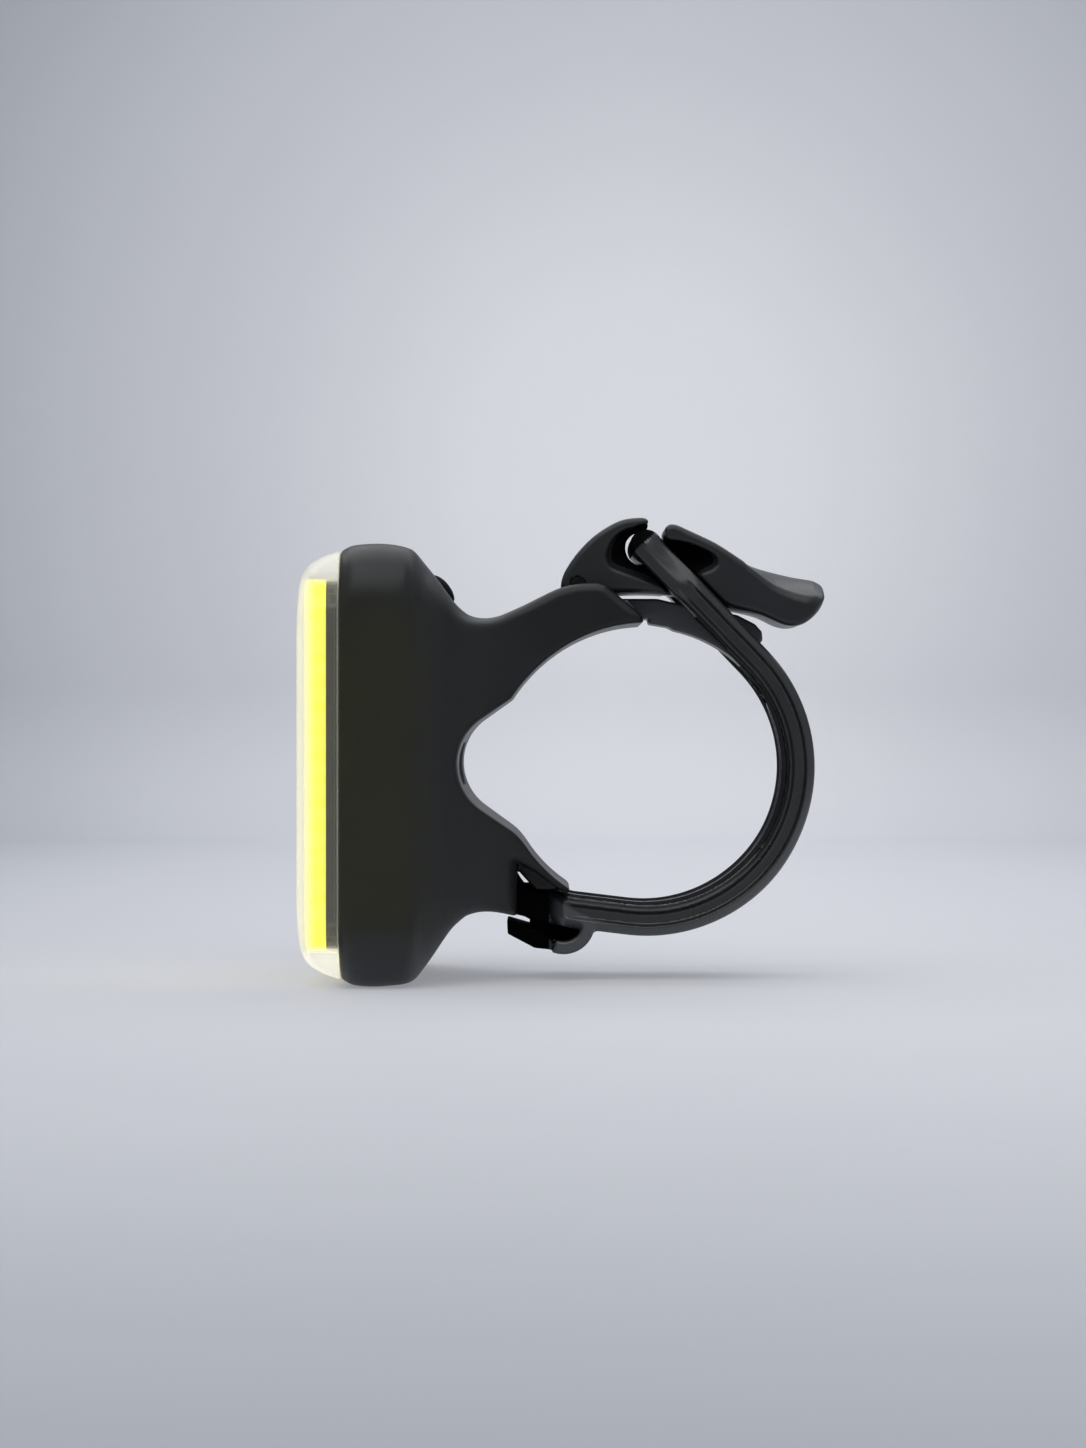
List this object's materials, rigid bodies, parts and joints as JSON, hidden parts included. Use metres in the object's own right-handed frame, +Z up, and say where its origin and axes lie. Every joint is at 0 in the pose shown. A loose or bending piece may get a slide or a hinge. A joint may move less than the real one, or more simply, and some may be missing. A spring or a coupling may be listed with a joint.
{
  "type": "bike headlight",
  "caption": "Square bike headlight with a glowing panel behind a frosted lens, held on a handlebar by a rubber strap and a cam lever.",
  "frame": {"origin": "on the handlebar's axis, which is the axis of the strap's loop, at mid width", "axes": "+X rearward (the beam goes to -X), +Y along the handlebar, +Z up"},
  "size_m": [0.0543, 0.0446, 0.0478],
  "materials": {
    "housing_plastic": "satin moulded",
    "lens_plastic": "frosted clear",
    "grey_silicone": "matte",
    "phosphor": "matte glowing",
    "led_board": "solder mask",
    "aluminium": "sheet",
    "steel": "plain",
    "thermal_pad": "soft",
    "circuit_board": "solder mask",
    "gold_pin": "plated",
    "cell_foil": "foil pouch",
    "foam": "foam tape",
    "lead_sleeve": "insulated wire",
    "black_plastic": "moulded",
    "black_silicone": "satin silicone",
    "ferrite": "ferrite block",
    "chip": "moulded package",
    "ceramic": "ceramic",
    "plunger_plastic": "moulded",
    "strap_rubber": "satin silicone",
    "lever_plastic": "satin moulded"
  },
  "bodies": {
    "light": {"housing": "housing_plastic", "lens": "lens_plastic", "lens_gasket": "grey_silicone", "light_panel": "phosphor", "led_board": "led_board", "heat_spreader": "aluminium", "board_screws": "steel", "thermal_pad": "thermal_pad", "main_board": "circuit_board", "led_pins": "gold_pin", "battery": "cell_foil", "battery_foam": "foam", "battery_leads": "lead_sleeve", "usb_shell": "steel", "usb_insert": "black_plastic", "driver_inductor": "ferrite", "control_chip": "chip", "charge_chip": "chip", "board_capacitors": "ceramic", "switch_bracket": "black_plastic", "tact_switch": "black_plastic", "strap": "strap_rubber", "strap_guide": "lever_plastic"},
    "lever": {"cam_lever": "lever_plastic", "lever_pin": "steel"},
    "button": {"power_button": "black_silicone", "switch_plunger": "plunger_plastic"},
    "bung": {"port_bung": "black_silicone"}
  },
  "joints": [
    {"name": "lever_hinge", "type": "hinge", "parent": "light", "child": "lever", "pos_m": [-0.0071, 0, 0.0189], "axis": [0, -1, 0], "range_deg": [0, 90], "deforming": ["strap"]},
    {"name": "button_press", "type": "slide", "parent": "light", "child": "button", "axis": [-0.7771, 0, -0.6293], "range_m": [0, 0.0005], "stiffness_N_per_m": 400},
    {"name": "bung_pull", "type": "slide", "parent": "light", "child": "bung", "axis": [1, 0, 0], "range_m": [0, 0.005]}
  ]
}
